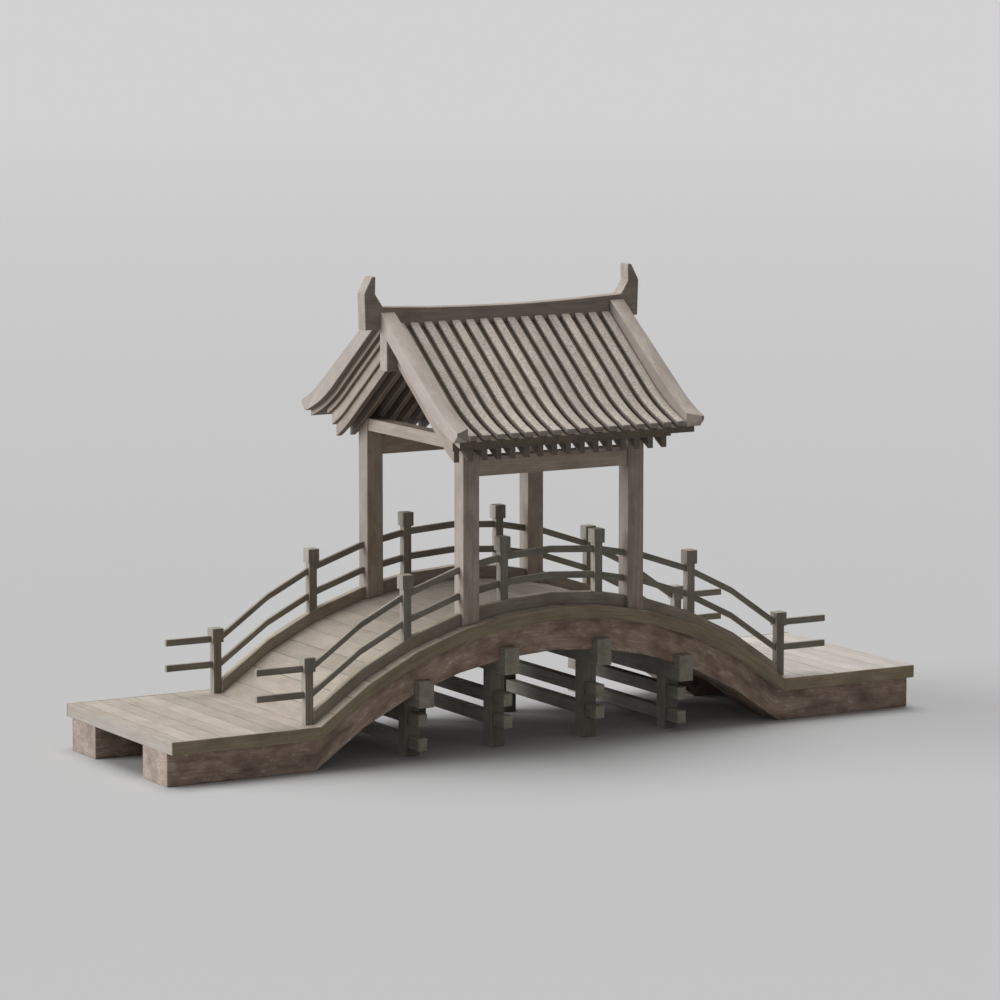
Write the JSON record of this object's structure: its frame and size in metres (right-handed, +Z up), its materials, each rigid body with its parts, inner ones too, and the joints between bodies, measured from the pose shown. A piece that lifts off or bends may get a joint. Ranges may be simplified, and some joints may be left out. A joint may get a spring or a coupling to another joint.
{
  "type": "roofed wooden footbridge",
  "caption": "Arched timber footbridge with level end platforms, trestle bents, railings and an open pavilion at the crown under a swept ribbed roof with a horned ridge.",
  "frame": {"origin": "On the ground, under the crown of the arch, midway between the two sides", "axes": "+X runs along the bridge, +Y across it to the rear side, +Z up"},
  "size_m": [13, 4.92, 7.102],
  "materials": {
    "beam_timber": "weathered",
    "deck_timber": "worn",
    "trestle_timber": "weathered",
    "railing_timber": "weathered",
    "frame_timber": "weathered",
    "roof_timber": "weathered"
  },
  "bodies": {
    "root": {"arch_deck": "deck_timber", "front_arch_beam": "beam_timber", "front_eave_beam": "frame_timber", "front_kerb": "railing_timber", "front_left_bargeboard": "roof_timber", "front_left_pavilion_post": "frame_timber", "front_left_rails": "railing_timber", "front_middle_rails": "railing_timber", "front_rafters": "roof_timber", "front_railing_posts": "railing_timber", "front_right_bargeboard": "roof_timber", "front_right_pavilion_post": "frame_timber", "front_right_rails": "railing_timber", "front_roof_boards": "roof_timber", "front_roof_lining": "roof_timber", "front_roof_ribs": "roof_timber", "front_roof_soffit": "roof_timber", "left_inner_bent_cap": "trestle_timber", "left_inner_bent_posts": "trestle_timber", "left_inner_bent_rails": "trestle_timber", "left_outer_bent_cap": "trestle_timber", "left_outer_bent_posts": "trestle_timber", "left_outer_bent_rails": "trestle_timber", "left_platform": "deck_timber", "left_tie_beam": "frame_timber", "rear_arch_beam": "beam_timber", "rear_eave_beam": "frame_timber", "rear_kerb": "railing_timber", "rear_left_bargeboard": "roof_timber", "rear_left_pavilion_post": "frame_timber", "rear_left_rails": "railing_timber", "rear_middle_rails": "railing_timber", "rear_rafters": "roof_timber", "rear_railing_posts": "railing_timber", "rear_right_bargeboard": "roof_timber", "rear_right_pavilion_post": "frame_timber", "rear_right_rails": "railing_timber", "rear_roof_boards": "roof_timber", "rear_roof_lining": "roof_timber", "rear_roof_ribs": "roof_timber", "rear_roof_soffit": "roof_timber", "ridge_beam": "roof_timber", "ridge_purlin": "roof_timber", "right_inner_bent_cap": "trestle_timber", "right_inner_bent_posts": "trestle_timber", "right_inner_bent_rails": "trestle_timber", "right_outer_bent_cap": "trestle_timber", "right_outer_bent_posts": "trestle_timber", "right_outer_bent_rails": "trestle_timber", "right_platform": "deck_timber", "right_tie_beam": "frame_timber"}
  },
  "joints": []
}
